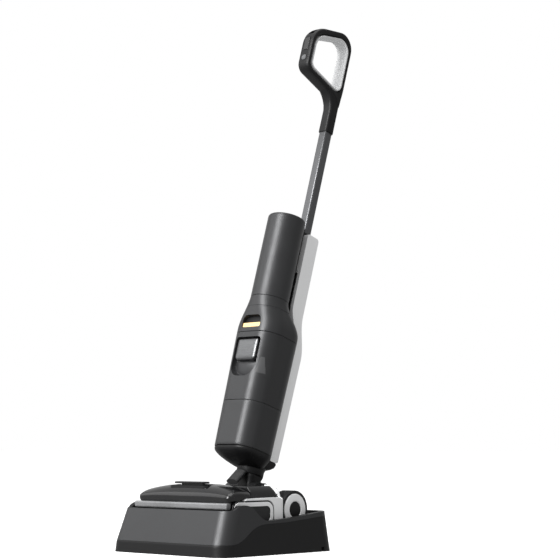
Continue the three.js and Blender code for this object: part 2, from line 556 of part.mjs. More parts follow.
// The self-clean key sits on the loop's rounded top front corner.
const CLEAN_KEY = { y: -87.5, z: 985.5, turn: THREE.MathUtils.degToRad(36), halfLength: 9, halfWidth: 6.5 };
function cleanPocket(grow) {
  const { halfWidth, halfLength } = CLEAN_KEY;
  const geometry = new THREE.BoxGeometry(2 * (halfWidth + grow), 2 * (halfLength + grow), grow ? 8 : 2.4);
  geometry.translate(0, 0, grow ? 1.4 : 0);
  geometry.rotateX(CLEAN_KEY.turn);
  geometry.translate(0, CLEAN_KEY.y, CLEAN_KEY.z);
  return toSolid(geometry);
}

buildDock();
buildHeadCasing();
buildTail();
buildDrive();
buildCover();
buildNeck();
buildFoot();
buildRearFrame();
buildHousing();
buildTube();
buildDirtyTank();
buildCleanTank();
buildStick();
buildHandle();

export default object;
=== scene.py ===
# Wet and dry floor washer in its dock: looks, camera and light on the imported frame.
# Shapes are written in millimetres and placed in metres. A piece of the leaning machine is drawn
# upright, about the neck pivot, and set into its leaning place by MACHINE.
import json
from math import acos, atan2, copysign, cos, hypot, pi, radians, sin, sqrt, tan

import bmesh
import bpy
from mathutils import Matrix, Vector


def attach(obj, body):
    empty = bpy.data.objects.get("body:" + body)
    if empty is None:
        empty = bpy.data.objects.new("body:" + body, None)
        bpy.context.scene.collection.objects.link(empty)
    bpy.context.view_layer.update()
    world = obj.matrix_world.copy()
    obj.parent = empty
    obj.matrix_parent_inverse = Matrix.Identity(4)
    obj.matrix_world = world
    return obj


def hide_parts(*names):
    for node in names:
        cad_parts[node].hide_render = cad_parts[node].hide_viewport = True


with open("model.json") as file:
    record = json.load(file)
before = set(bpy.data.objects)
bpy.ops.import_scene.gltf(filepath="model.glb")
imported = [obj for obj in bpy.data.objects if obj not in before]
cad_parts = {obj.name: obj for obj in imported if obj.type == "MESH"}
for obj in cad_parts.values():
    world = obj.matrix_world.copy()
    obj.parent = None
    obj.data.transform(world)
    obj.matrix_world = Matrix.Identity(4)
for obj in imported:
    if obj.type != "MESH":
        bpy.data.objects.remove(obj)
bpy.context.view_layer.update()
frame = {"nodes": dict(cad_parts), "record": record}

# ------------------------------------------------------------------ driving dimensions
MM = 0.001
LEAN = radians(17)
PIVOT = (66, 117)                                # neck tilt axis, as y and z
WORLD = Matrix.Identity(4)
MACHINE = Matrix.Translation((0, *PIVOT)) @ Matrix.Rotation(-LEAN, 4, "X")

DOCK_HALF = 157.5
DOCK_CORNER = 32
DOCK_SKIN = 3
FOOT_BAND = 20                                   # the dock's upright foot, below its sloping walls
WELL_HALF = 137                                  # inside of the dock
WELL_FLOOR = 44.6
RIM_LOW = 84.5                                   # front edge of the dock
ABOVE = 130                                      # clear of the dock and the head

ROLLER_AXIS = (-72, 73)
WHEEL_AXIS = (70, 81.5)
SHELL_LOW = 100.35                               # black shell behind the brush cover
SHELL_TOP = 127.5
SIDE_INNER = 121.35                              # side trims and end caps of the head
SIDE_OUTER = 130.5
COVER_HALF = 126
COVER_LOW = 98

# Levels u, widths x and depths v below are those of the machine before it leans.
TUBE_AXIS = (0, -48)
TUBE_RADIUS = 39.5
TUBE_LOW = 384.8
TANK_FOOT = 69.6
TANK_SEAM = 162
TANK_TOP = 305.5
SHOULDER = (316, 388)
FILLER_AXIS = (0, 240)
STICK_V = 10.6
STICK_CORNER = 4.6


# ------------------------------------------------------------------ materials
def material(name, color, rough=0.4, metallic=0.0, vary=0.12, grain=0.0, grain_scale=900, smudge=0.08,
             coat=0.0, coat_rough=0.1, stretch=(1, 1, 1), sheen=0.0, alpha=1.0, glow=0.0, specular=0.5):
    """Moulded or metal finish: cloudy tone, uneven gloss and a fine grain, all from noise."""
    mat = bpy.data.materials.new(name)
    mat.use_nodes = True
    nodes = mat.node_tree.nodes
    link = mat.node_tree.links.new
    shader = nodes["Principled BSDF"]
    shader.inputs["Metallic"].default_value = metallic
    shader.inputs["Coat Weight"].default_value = coat
    shader.inputs["Coat Roughness"].default_value = coat_rough
    shader.inputs["Sheen Weight"].default_value = sheen
    shader.inputs["Specular IOR Level"].default_value = specular
    shader.inputs["Alpha"].default_value = alpha

    place = nodes.new("ShaderNodeTexCoord")
    mapping = nodes.new("ShaderNodeMapping")
    mapping.inputs["Scale"].default_value = stretch
    link(place.outputs["Object"], mapping.inputs["Vector"])

    def noise(scale, detail=4.0):
        node = nodes.new("ShaderNodeTexNoise")
        node.inputs["Scale"].default_value = scale
        node.inputs["Detail"].default_value = detail
        link(mapping.outputs["Vector"], node.inputs["Vector"])
        return node.outputs["Fac"]

    def spread(value, low, high, start=0.3, end=0.7):
        node = nodes.new("ShaderNodeMapRange")
        node.inputs["From Min"].default_value = start
        node.inputs["From Max"].default_value = end
        node.inputs["To Min"].default_value = low
        node.inputs["To Max"].default_value = high
        link(value, node.inputs["Value"])
        return node.outputs["Result"]

    fine = noise(grain_scale)
    cloud = noise(9.0, 6.0)
    tone = nodes.new("ShaderNodeMixRGB")
    tone.inputs["Color1"].default_value = (*[c * (1 - vary) for c in color], 1)
    tone.inputs["Color2"].default_value = (*[min(1, c * (1 + vary)) for c in color], 1)
    blend = nodes.new("ShaderNodeMath")
    blend.operation = "ADD"
    link(spread(fine, 0.0, 0.6), blend.inputs[0])
    link(spread(cloud, 0.0, 0.4), blend.inputs[1])
    link(blend.outputs["Value"], tone.inputs["Fac"])
    link(tone.outputs["Color"], shader.inputs["Base Color"])
    if glow:
        link(tone.outputs["Color"], shader.inputs["Emission Color"])
        shader.inputs["Emission Strength"].default_value = glow
    gloss = nodes.new("ShaderNodeMath")
    gloss.operation = "ADD"
    link(spread(noise(38.0, 5.0), rough - smudge / 2, rough + smudge / 2), gloss.inputs[0])
    link(spread(fine, -0.02, 0.02), gloss.inputs[1])
    link(gloss.outputs["Value"], shader.inputs["Roughness"])
    if grain:
        bump = nodes.new("ShaderNodeBump")
        bump.inputs["Strength"].default_value = grain
        bump.inputs["Distance"].default_value = 0.0002
        link(fine, bump.inputs["Height"])
        link(bump.outputs["Normal"], shader.inputs["Normal"])
    return mat


MATERIALS = {
    "metallic_grey": material("metallic_grey", (0.044, 0.0447, 0.0465), 0.42, 0.6, grain=0.12,
                              grain_scale=2600, coat=0.2, coat_rough=0.3),
    "black_plastic": material("black_plastic", (0.0085, 0.0085, 0.009), 0.44, grain=0.3, grain_scale=1500,
                              specular=0.28),
    "gloss_black": material("gloss_black", (0.006, 0.006, 0.0065), 0.2, smudge=0.05, coat=0.3,
                            coat_rough=0.08),
    "light_grey": material("light_grey", (0.84, 0.845, 0.85), 0.42, vary=0.03, grain=0.12, grain_scale=2200),
    # light_grey darkened for the handle loop's liner: painted shade where it faces the front lamp
    "shaded_liner_grey": material("shaded_liner_grey", (0.58, 0.585, 0.59), 0.5, vary=0.03, grain=0.15, grain_scale=1800,
                           specular=0.3),
    "smoked_tank": material("smoked_tank", (0.04, 0.0407, 0.0425), 0.41, 0.55, vary=0.06, smudge=0.03,
                            coat=0.3, coat_rough=0.34, alpha=0.95),
    "smoked_light": material("smoked_light", (0.085, 0.086, 0.088), 0.34, 0.3, vary=0.1, smudge=0.03,
                             coat=0.2),
    "brushed_silver": material("brushed_silver", (0.17, 0.173, 0.177), 0.3, 0.9, vary=0.22, grain=0.3,
                               grain_scale=60, stretch=(1, 18, 18)),
    "stick_metal": material("stick_metal", (0.14, 0.142, 0.147), 0.34, 0.8, vary=0.1, grain=0.15,
                            grain_scale=220, stretch=(8, 8, 1)),
    "bare_steel": material("bare_steel", (0.62, 0.62, 0.63), 0.22, 1.0, vary=0.06, grain=0.1,
                           grain_scale=300, stretch=(12, 1, 1)),
    "cell_cans": material("cell_cans", (0.04, 0.11, 0.24), 0.35, 0.2, grain=0.1),
    "motor_cans": material("motor_cans", (0.45, 0.45, 0.46), 0.35, 0.9, grain=0.15, grain_scale=300),
    "soft_black": material("soft_black", (0.014, 0.014, 0.015), 0.7, grain=0.5, grain_scale=1100, sheen=0.1),
    "tyre_black": material("tyre_black", (0.013, 0.013, 0.014), 0.62, grain=0.6, grain_scale=900),
    "nap_grey": material("nap_grey", (0.15, 0.16, 0.17), 0.9, vary=0.45, grain=1.0,
                         grain_scale=700, sheen=0.6),
    "filter_white": material("filter_white", (0.6, 0.6, 0.58), 0.85, vary=0.08, grain=0.8, grain_scale=160,
                             stretch=(1, 1, 0.1)),
    "amber_lens": material("amber_lens", (0.8, 0.54, 0.24), 0.32, vary=0.22, grain_scale=500,
                           coat=0.3, glow=0.5),
    "board_green": material("board_green", (0.02, 0.12, 0.06), 0.5, vary=0.3, grain=0.4, grain_scale=400),
    "speckled_silver": material("speckled_silver", (0.26, 0.263, 0.268), 0.4, 0.5, vary=0.6, grain=0.8,
                                grain_scale=1100),
    "inset_grey": material("inset_grey", (0.02, 0.0205, 0.0215), 0.45, 0.2, grain=0.3, grain_scale=1800),
}


# ------------------------------------------------------------------ outlines
def ring(half_x, half_y, corner, x=0.0, y=0.0, steps=14):
    """Rounded rectangle as (x, y) points; a circle when both half sizes equal the corner."""
    points = []
    for quarter in range(4):
        side_x = 1 if quarter in (0, 3) else -1
        side_y = 1 if quarter < 2 else -1
        for step in range(steps + 1):
            angle = (quarter + step / steps) * pi / 2
            points.append((x + side_x * (half_x - corner) + corner * cos(angle),
                           y + side_y * (half_y - corner) + corner * sin(angle)))
    return points


def rounded(corners, steps=10):
    """Closed outline from corners given as (a, b, radius)."""
    points = []
    for i, (a, b, radius) in enumerate(corners):
        corner = Vector((a, b))
        if not radius:
            points.append((a, b))
            continue
        before = (Vector(corners[i - 1][:2]) - corner).normalized()
        after = (Vector(corners[(i + 1) % len(corners)][:2]) - corner).normalized()
        half = acos(max(-1, min(1, before.dot(after)))) / 2
        centre = corner + (before + after).normalized() * radius / sin(half)
        start = corner + before * radius / tan(half) - centre
        end = corner + after * radius / tan(half) - centre
        sweep = atan2(start.x * end.y - start.y * end.x, start.dot(end))
        for step in range(steps + 1):
            spoke = Matrix.Rotation(sweep * step / steps, 2) @ start
            points.append(tuple(centre + spoke))
    return points


def panel(a0, a1, b0, b1, radius, steps=10):
    return rounded([(a0, b0, radius), (a1, b0, radius), (a1, b1, radius), (a0, b1, radius)], steps)


def curve_through(points, steps=6):
    """Smooth curve through (y, z) points that run along y, without overshoot."""
    out = []
    slopes = []
    for i in range(len(points)):
        low = points[max(i - 1, 0)]
        high = points[min(i + 1, len(points) - 1)]
        slopes.append((high[1] - low[1]) / (high[0] - low[0]))
    for i in range(len(points) - 1):
        (y0, z0), (y1, z1) = points[i], points[i + 1]
        span = y1 - y0
        for step in range(steps):
            t = step / steps
            h00 = 2 * t ** 3 - 3 * t ** 2 + 1
            h10 = t ** 3 - 2 * t ** 2 + t
            h01 = 3 * t ** 2 - 2 * t ** 3
            h11 = t ** 3 - t ** 2
            rise = h10 * slopes[i] + h11 * slopes[i + 1]
            out.append((y0 + span * t, h00 * z0 + h01 * z1 + span * rise))
    return out + [points[-1]]


def mix(a, b, share):
    return a + (b - a) * share


def smooth(value, low, high):
    share = max(0.0, min(1.0, (value - low) / (high - low)))
    return share * share * (3 - 2 * share)


def spaced(start, end, count):
    return [mix(start, end, i / count) for i in range(count + 1)]


# ------------------------------------------------------------------ solids
def loft(stack, put=lambda a, b, level: (a, b, level)):
    """Skin over outlines given as (level, points), closed at both ends."""
    count = len(stack[0][1])
    verts = [put(a, b, level) for level, points in stack for a, b in points]
    faces = []
    for row in range(len(stack) - 1):
        for i in range(count):
            j = (i + 1) % count
            faces.append((row * count + i, row * count + j, (row + 1) * count + j, (row + 1) * count + i))
    faces.append(tuple(reversed(range(count))))
    faces.append(tuple(range(len(verts) - count, len(verts))))
    return verts, faces


def along_x(a, b, level):
    return (level, a, b)


def along_y(a, b, level):
    return (a, level, b)


def prism(outline, x0, x1):
    return loft([(x0, outline), (x1, outline)], along_x)


def block(x0, x1, y0, y1, z0, z1):
    plan = [(x0, y0), (x1, y0), (x1, y1), (x0, y1)]
    return loft([(z0, plan), (z1, plan)])


def turned(profile, axis="x", centre=(0, 0), steps=96):
    """Solid of revolution from (position along the axis, radius) points; both ends close on the axis."""
    verts, faces = [], []
    for position, radius in profile:
        for i in range(steps):
            angle = 2 * pi * i / steps
            a, b = centre[0] + radius * cos(angle), centre[1] + radius * sin(angle)
            verts.append({"x": (position, a, b), "y": (a, position, b), "z": (a, b, position)}[axis])
    for row in range(len(profile) - 1):
        for i in range(steps):
            j = (i + 1) % steps
            faces.append((row * steps + i, row * steps + j, (row + 1) * steps + j, (row + 1) * steps + i))
    if profile[0] != profile[-1]:
        faces.append(tuple(reversed(range(steps))))
        faces.append(tuple(range(len(verts) - steps, len(verts))))
    return verts, faces


def on_side(side, profile):
    """Profile of a turned piece, on the right (1) or left (-1) side of the machine."""
    return [(side * a, radius) for a, radius in profile]


def solid(name, shapes, place=WORLD):
    """One object from one or more closed shapes."""
    shapes = shapes if isinstance(shapes, list) else [shapes]
    verts, faces = [], []
    for shape_verts, shape_faces in shapes:
        start = len(verts)
        verts += [(place @ Vector(point)) * MM for point in shape_verts]
        faces += [tuple(start + i for i in face) for face in shape_faces]
    mesh = bpy.data.meshes.new(name)
    mesh.from_pydata([tuple(v) for v in verts], [], faces)
    work = bmesh.new()
    work.from_mesh(mesh)
    bmesh.ops.remove_doubles(work, verts=work.verts, dist=1e-6)
    bmesh.ops.dissolve_degenerate(work, edges=work.edges, dist=1e-7)
    bmesh.ops.recalc_face_normals(work, faces=work.faces)
    work.to_mesh(mesh)
    work.free()
    obj = bpy.data.objects.new(name, mesh)
    bpy.context.scene.collection.objects.link(obj)
    return obj


def settle(obj):
    """Makes the modifiers' result the object's own mesh."""
    mesh = bpy.data.meshes.new_from_object(obj.evaluated_get(bpy.context.evaluated_depsgraph_get()))
    obj.modifiers.clear()
    obj.data = mesh


def carve(obj, shapes, operation="DIFFERENCE", place=WORLD):
    for shape in shapes:
        tool = shape if isinstance(shape, bpy.types.Object) else solid("tool", shape, place)
        step = obj.modifiers.new("cut", "BOOLEAN")
        step.operation = operation
        step.object = tool
        step.solver = "EXACT"
        bpy.context.view_layer.update()
        settle(obj)
        bpy.data.objects.remove(tool)
    return obj


def dress(obj, finish, body, nodes=(), bevel=0.8, segments=3, angle=32):
    """Rounds the edges, sets the finish, hides the CAD nodes it stands in for and ties the piece to its body.
    """
    obj.data.materials.clear()
    obj.data.materials.append(MATERIALS[finish])
    obj.data.shade_smooth()
    if bevel:
        edge = obj.modifiers.new("edge", "BEVEL")
        edge.width = bevel * MM
        edge.segments = segments
        edge.limit_method = "ANGLE"
        edge.angle_limit = radians(angle)
        edge.harden_normals = False
        normals = obj.modifiers.new("normals", "WEIGHTED_NORMAL")
        normals.weight = 80
    else:
        obj.data.set_sharp_from_angle(angle=radians(angle))
    if nodes:
        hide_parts(*nodes)
    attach(obj, body)
    return obj


FINISH_OF = {entry["node"]: entry["material_slot"] for entry in frame["record"]["subparts"]}


# ------------------------------------------------------------------ dock
RIM = curve_through([
    (-160, RIM_LOW), (-140, RIM_LOW), (-118, RIM_LOW), (-108, 90.5), (-98, 93.6), (-84, 93.2), (-70, 88.5),
    (-56, 76.5), (-44, 67.6), (-30, 64), (0, 65.3), (40, 68), (130, 77), (160, 77.5)])
SEAM = curve_through([
    (-160, 23), (-128, 23), (-112, 26), (-98, 32.5), (-72, 49), (-56, 55), (-38, 57.6), (20, 59.5),
    (130, 68), (160, 69.5)])


def dock_body(inset=0.0):
    """Outside of the dock, or the same pulled in by inset."""
    def plan(z):
        front = -DOCK_HALF + 0.07 * min(z, FOOT_BAND) + 0.36 * max(0, z - FOOT_BAND) + inset
        rear = DOCK_HALF - 0.1 * z - inset
        half = DOCK_HALF - 0.09 * z - inset
        return ring(half, (rear - front) / 2, DOCK_CORNER - inset, 0, (rear + front) / 2, 20)
    return loft([(z, plan(z)) for z in (0, 18, 19.2, 20.4, 21.6, 110)])


def below(line, drop=0.0):
    """Everything under a line that runs from the front of the dock to its back."""
    edge, end = 170, 175
    under = [(-edge, -5), (edge, -5), (edge, line[-1][1] - drop)]
    over = [(y, z - drop) for y, z in reversed(line)] + [(-edge, line[0][1] - drop)]
    return prism(under + over, -end, end)


def dock_cuts():
    """Room for the head: two wells, the open front above the rim and the roller's trough."""
    def well(front, rear, corner):
        plan = ring(WELL_HALF, (rear - front) / 2, corner, 0, (front + rear) / 2)
        return loft([(z, plan) for z in (WELL_FLOOR, ABOVE)])
    return [well(-107.5, 60, 12), well(-60, 143, 26), block(-WELL_HALF, WELL_HALF, -170, 60, RIM_LOW, ABOVE),
            turned([(-WELL_HALF, 30.6), (WELL_HALF, 30.6)], "x", ROLLER_AXIS)]


def build_dock():
    gap = 0.35
    shell = solid("dock_front_shell", dock_body())
    carve(shell, [below(RIM)], "INTERSECT")
    carve(shell, [below(SEAM), dock_body(DOCK_SKIN)] + dock_cuts())
    dress(shell, "metallic_grey", "dock", ["dock_shell"], bevel=0.9)

    lower = solid("dock_tray", dock_body())
    carve(lower, [below(SEAM, gap)], "INTERSECT")
    inner = solid("inner", dock_body(DOCK_SKIN + gap))
    carve(inner, [below(RIM, gap)], "INTERSECT")
    carve(lower, [inner], "UNION")
    underside = block(-141, 141, -118, 141, -1, 38)
    lead_notch = block(136, 165, 114, 122, -1, 9)
    carve(lower, dock_cuts() + [underside, lead_notch])
    dress(lower, "black_plastic", "dock", ["dock_base"], bevel=0.7)


# ------------------------------------------------------------------ floor head
def build_bumper():
    half = 127
    stack = [(x, panel(-119 + 1.5 * abs(x / half) ** 4, -106, 85.3, 97.6, 3.4))
             for x in spaced(-half, half, 24)]
    bumper = solid("head_bumper_strip", loft(stack, along_x))
    dress(bumper, "speckled_silver", "head", ["head_bumper"], bevel=1.4, segments=4, angle=50)


def build_rear_shell():
    """Black shell behind the cover, its top falling away in an arc at each end."""
    half, radius = 120.6, 24
    height = SHELL_TOP - SHELL_LOW
    outline = rounded([(-45.5, SHELL_LOW, 0), (29, SHELL_LOW, 0),
                       (29, SHELL_TOP, 15), (-45.5, SHELL_TOP, 2)], 12)
    right = [half - inset for inset in (radius, 18, 12, 8, 4, 2, 0.6, 0)]
    stack = []
    for x in [-x for x in reversed(right)] + [0] + right:
        over = max(0, abs(x) - (half - radius))
        top = SHELL_TOP - radius + sqrt(max(0, radius ** 2 - over ** 2)) + 3
        share = (min(SHELL_TOP, top) - SHELL_LOW) / height
        stack.append((x, [(y, SHELL_LOW + (z - SHELL_LOW) * share) for y, z in outline]))
    dress(solid("head_rear_shell", loft(stack, along_x)), "gloss_black", "head", ["rear_shell"], bevel=1.2)


def build_head_side(side, sign):
    """Light trim, and the black end cap with its light ring and grey inset."""
    def span(a, b):
        return (min(sign * a, sign * b), max(sign * a, sign * b))

    outline = [(-84, 53), (29, 53), (29, 103), (24, 106), (-64, 105), (-84, 96)]
    trim = solid(f"head_side_trim_{side}", prism(outline, *span(SIDE_INNER, SIDE_OUTER)))
    carve(trim, [prism(panel(-120, 8.9, 40, 101.4, 19, 16), *span(119, 133))])
    dress(trim, "light_grey", "head", [f"side_trim_{side}"], bevel=1.1)
    cap = solid(f"head_end_cap_{side}", prism(panel(-105, 8.5, 52, 101, 19, 16), *span(SIDE_INNER, 129.6)))
    dress(cap, "gloss_black", "head", [f"end_cap_{side}"], bevel=1.2)
    band = solid(f"head_cap_ring_{side}", prism(panel(-102.4, 5.9, 54.6, 98.4, 16.5, 16),
                                                *span(128.8, SIDE_OUTER)))
    carve(band, [prism(panel(-94.5, -2, 62.5, 90.5, 9.5, 16), *span(128, 132))])
    dress(band, "light_grey", "head", bevel=0.5)
    inset = solid(f"head_cap_inset_{side}", prism(panel(-93.3, -3.2, 63.7, 89.3, 8.5, 16),
                                                  *span(128.8, 130.2)))
    dress(inset, "inset_grey", "head", bevel=0.5)


def build_rear_arch():
    right = [(130.3, 40, 0), (130.3, 103.5, 3), (123.2, 107, 3), (123.2, 129.6, 25)]
    outer = rounded(right + [(-x, z, radius) for x, z, radius in reversed(right)], 14)
    arch = solid("head_rear_arch", loft([(y, outer) for y in (29.35, 32.4)], along_y))
    inside = ring(119.5, 46, 21, 0, 79.5, 18)
    carve(arch, [loft([(y, inside) for y in (20, 40)], along_y), block(-140, 140, 20, 50, 20, 53),
                 block(-84, 84, 20, 50, 100, 140)])
    dress(arch, "light_grey", "head", ["rear_trim"], bevel=1.1)


def build_head():
    build_bumper()
    build_rear_shell()
    for side, sign in (("left", -1), ("right", 1)):
        build_head_side(side, sign)
    build_rear_arch()
    build_cover()
    for side, sign in (("left", -1), ("right", 1)):
        build_wheel(side, sign)
    build_roller()


def cover_height(x, y):
    """Top of the crowned cover; beyond a slanted crease near each end it falls away."""
    out = abs(x) / COVER_HALF
    beyond = ((abs(x) - 85) * 53 + (y + 47) * 40) / hypot(53, 40)
    ahead = max(0, (-y - 62) / 48)
    return mix(131.3, 119.5, out ** 2.6) - 0.16 * max(0, beyond) - 19 * (1 - 0.45 * out ** 2) * ahead ** 3


def cover_outline(x):
    """Section of the cover across the machine: flat foot, rear wall, crowned top and rounded front."""
    pull = 5.0 * max(0, (abs(x) - 116) / 10) ** 2.5
    front, rear = -110 + pull, -47 - pull
    high = cover_height(x, front) - pull * 0.8
    line = [(rear, COVER_LOW), (rear, cover_height(x, rear) - 4 - pull)]
    line += [(rear - 0.9, cover_height(x, rear) - 1.5 - pull)]
    line += [(y, cover_height(x, y) - pull * 0.8) for y in spaced(rear - 3, front + 1.6, 22)]
    line += [(front + lean, mix(COVER_LOW, high, share))
             for lean, share in ((0.5, 0.86), (0, 0.66), (0.3, 0.3))]
    return line + [(front + 2, COVER_LOW)]


def build_cover():
    right = (20, 40, 55, 70, 80, 90, 98, 105, 111, 116, 120, 123, 124.8, COVER_HALF)
    stack = [(x, cover_outline(x)) for x in [-x for x in reversed(right)] + [0, *right]]
    cover = solid("head_brush_cover", loft(stack, along_x))
    over_trim = [(-130, 80), (20, 80), (20, 107), (-63, 106.4), (-86, 101.6), (-130, 101.6)]
    hollow = [(x, [(mix(y, -78.5, 0.1), z - 3.2) for y, z in line]) for x, line in stack if abs(x) <= 121]
    carve(cover, [loft(hollow, along_x), prism(over_trim, -140, -120.6), prism(over_trim, 120.6, 140)])

    def recess_at(z):
        shrink = 0.3 * (131 - z)
        return ring(49 - shrink, 14 - shrink, 7, 0, -81.5, 8)
    floor = solid("cover_recess_floor", loft([(z, ring(51, 16, 8, 0, -81.5, 8)) for z in (123.5, 129)]))
    carve(cover, [floor], "UNION")
    carve(cover, [loft([(z, recess_at(z)) for z in (125.6, 145)])])
    dress(cover, "gloss_black", "cover", ["brush_cover"], bevel=0.7, angle=40)

    tab = solid("cover_latch_tab", [
        loft([(z, ring(40 - grow, 10 - grow, 3.5, 0, -84, 8)) for z, grow in
              ((132.4, 0.8), (133.0, 0), (135.0, 0), (135.8, 0.8), (136.1, 2.2))]),
        loft([(z, ring(30, 3.4, 2, 0, -80.5, 6)) for z in (126.2, 133)])])
    dress(tab, "gloss_black", "latch", ["cover_latch"], bevel=0.3)


def build_wheel(side, sign):
    """Ribbed tyre, light disc, black hub cap and the steel pivot pin on the same side."""
    body = f"wheel_{side}"
    axis, bore = 0.01, 4.5
    tread, hollow, pitch = 36.5, 35.9, 2.15
    ribs = []
    for i in range(13):
        start = 98.2 + i * pitch
        ribs += [(start, tread), (start + 0.8, tread), (start + 1.1, hollow), (start + 1.8, hollow)]
    profile = [(96.5, 31.2), (96.5, 35), (97.3, 36.2), *ribs, (126.6, 36.3), (127.4, 35), (127.6, 31.2)]
    tyre = solid(f"{body}_tyre", turned(on_side(sign, profile + profile[:1]), "x", WHEEL_AXIS, 128))
    dress(tyre, "tyre_black", body, [f"tyre_{side}"], bevel=0, angle=28)
    disc = [(97.5, bore), (97.5, 30.6), (126.8, 30.6), (128.0, 29.6), (128.5, 28), (128.5, 17.2),
            (127.6, 16.4), (127.4, bore), (97.5, bore)]
    hub = solid(f"{body}_disc", turned(on_side(sign, disc), "x", WHEEL_AXIS, 128))
    dress(hub, "light_grey", body, [f"wheel_disc_{side}"], bevel=0.25, segments=2)
    plug = [(126.0, 4.6), (126.0, 15.6), (127.6, 15.6), (128.3, 14.6), (128.6, 12), (128.6, axis),
            (127.6, axis), (127.6, 4.6), (126.0, 4.6)]
    centre_cap = solid(f"{body}_hub_cap", turned(on_side(sign, plug), "x", WHEEL_AXIS, 96))
    dress(centre_cap, "black_plastic", body, bevel=0, angle=28)

    pin = [(24, 6), (49.35, 6), (49.35, 8.4), (50, 9), (51.6, 9), (52.7, 8.2), (53.2, 6.4), (53.3, axis),
           (24, axis), (24, 6)]
    pivot = solid(f"pivot_pin_{side}_turned", turned(on_side(sign, pin), "x", PIVOT, 64))
    dress(pivot, "bare_steel", "head", [f"pivot_pin_{side}"], bevel=0, angle=28)


def build_roller():
    core = 20.4
    nap = [(-112, core), (-112, 25.5), (-111, 27), (111, 27), (112, 25.5), (112, core), (-112, core)]
    sleeve = solid("roller_nap_sleeve", turned(nap, "x", ROLLER_AXIS, 96))
    dress(sleeve, "nap_grey", "roller", ["roller_nap"], bevel=0, angle=28)


# ------------------------------------------------------------------ neck
def build_neck():
    column = loft([(u, ring(hx, hy, 10, 0, 0, 10)) for u, hx, hy in
                   ((-4, 23, 15.5), (4, 21.8, 15.8), (12, 21.4, 16), (20, 23, 17.6), (28.2, 25, 19.4),
                    (29, 24.4, 18.8))])
    barrel = [(-36.5, 6.4), (-36.5, 14.6), (-35.2, 16), (35.2, 16), (36.5, 14.6), (36.5, 6.4), (-36.5, 6.4)]
    yoke = solid("neck_yoke_body", [column, turned(barrel, "x", (0, 0), 96)], MACHINE)
    dress(yoke, "black_plastic", "neck", ["neck_yoke"], bevel=0.8, angle=45)

    start, end = Vector((0, -44, 4)), Vector((0, -26, 29.4))
    along = (end - start).normalized()
    across = Vector((1, 0, 0))
    normal = across.cross(along)
    rows, sides = 56, 32
    verts, faces = [], []
    for row in range(rows + 1):
        share = row / rows
        wave = 0.7 * cos(2 * pi * 9 * share)
        centre = start + (end - start) * share
        for i in range(sides):
            angle = 2 * pi * i / sides
            shape = across * (14.2 + wave) * cos(angle) + normal * (6.2 + wave) * sin(angle)
            verts.append(tuple(centre + shape))
    for row in range(rows):
        for i in range(sides):
            j = (i + 1) % sides
            faces.append((row * sides + i, row * sides + j, (row + 1) * sides + j, (row + 1) * sides + i))
    faces += [tuple(reversed(range(sides))), tuple(range(rows * sides, (rows + 1) * sides))]
    hose = solid("neck_bellows", (verts, faces), MACHINE)
    dress(hose, "soft_black", "neck", ["neck_hose"], bevel=0, angle=60)


# ------------------------------------------------------------------ upright body
UPPER = dict(half=57.0, front=-83.0, back=18.5, corner=35.0)
LOWER = dict(half=51.5, front=-80.0, back=16.4, corner=32.0)
TUBE = dict(half=TUBE_RADIUS, front=-87.5, back=-8.5, corner=TUBE_RADIUS)


def size_at(level):
    """Half width, front, back and corner of the body: tank, shoulder, then round tube."""
    down = max(0.0, min(1.0, (TANK_TOP - level) / (TANK_TOP - TANK_FOOT)))
    up = smooth(level, *SHOULDER)
    return {key: mix(mix(UPPER[key], LOWER[key], down), TUBE[key], up) for key in UPPER}


def section(level, inset=0.0, steps=18):
    """Outline of the body at a level, with a gently bowed front below the tube."""
    size = size_at(level)
    up = smooth(level, *SHOULDER)
    half = size["half"] - inset
    front, back = size["front"] + inset, size["back"] - inset
    bow = 3.2 * (1 - up)
    outline = ring(half, (back - front) / 2, min(size["corner"] - inset, half), 0, (front + back) / 2, steps)
    middle = (front + back) / 2
    return [(x, v - bow * (1 - (x / half) ** 2) * smooth(middle - v, 0, 25)) for x, v in outline]


def stacked(levels):
    """Body outline at levels given as (level, inset)."""
    return loft([(level, section(level, inset)) for level, inset in levels])


def groove(level):
    return [(level - 0.7, 0), (level - 0.35, 0.5), (level + 0.35, 0.5), (level + 0.7, 0)]


def build_upright():
    levels = [(305.9, 0.9), (306.2, 0.4), (306.9, 0), (312, 0), (SHOULDER[0], 0)]
    levels += [(u, 0) for u in spaced(320, 358, 12)] + groove(361) + [(u, 0) for u in spaced(364, 378, 5)]
    levels += [(381, 0), (383.6, 0), (384.2, 0.3), (384.4, 0.8)]
    housing = solid("motor_housing_shell", stacked(levels), MACHINE)
    recess = rounded([(-24.8, 315, 3), (24.8, 315, 3), (24.8, 341, 12), (-24.8, 341, 12)], 10)
    carve(housing, [loft([(-98, recess), (-75, recess)], along_y)], place=MACHINE)
    dress(housing, "metallic_grey", "machine", ["motor_housing"], bevel=0.5, angle=38)
    lens = rounded([(-24.3, 315.5, 2), (24.3, 315.5, 2), (24.3, 325.2, 2), (-24.3, 325.2, 2)], 6)
    bar_stack = [(v, [(x * (1 - shrink / 25), u) for x, u in lens])
                 for v, shrink in ((-75.3, 0), (-82.2, 0), (-83.2, 0.4))]
    bar = solid("light_bar_lens", loft(bar_stack, along_y), MACHINE)
    dress(bar, "amber_lens", "machine", ["light_bar"], bevel=0.8)
    back_outline = [(x * 0.99, u) for x, u in recess]
    back = solid("light_recess_back", loft([(v, back_outline) for v in (-77.0, -75.2)], along_y), MACHINE)
    dress(back, "black_plastic", "machine", bevel=0.2)

    build_tube()
    build_foot()


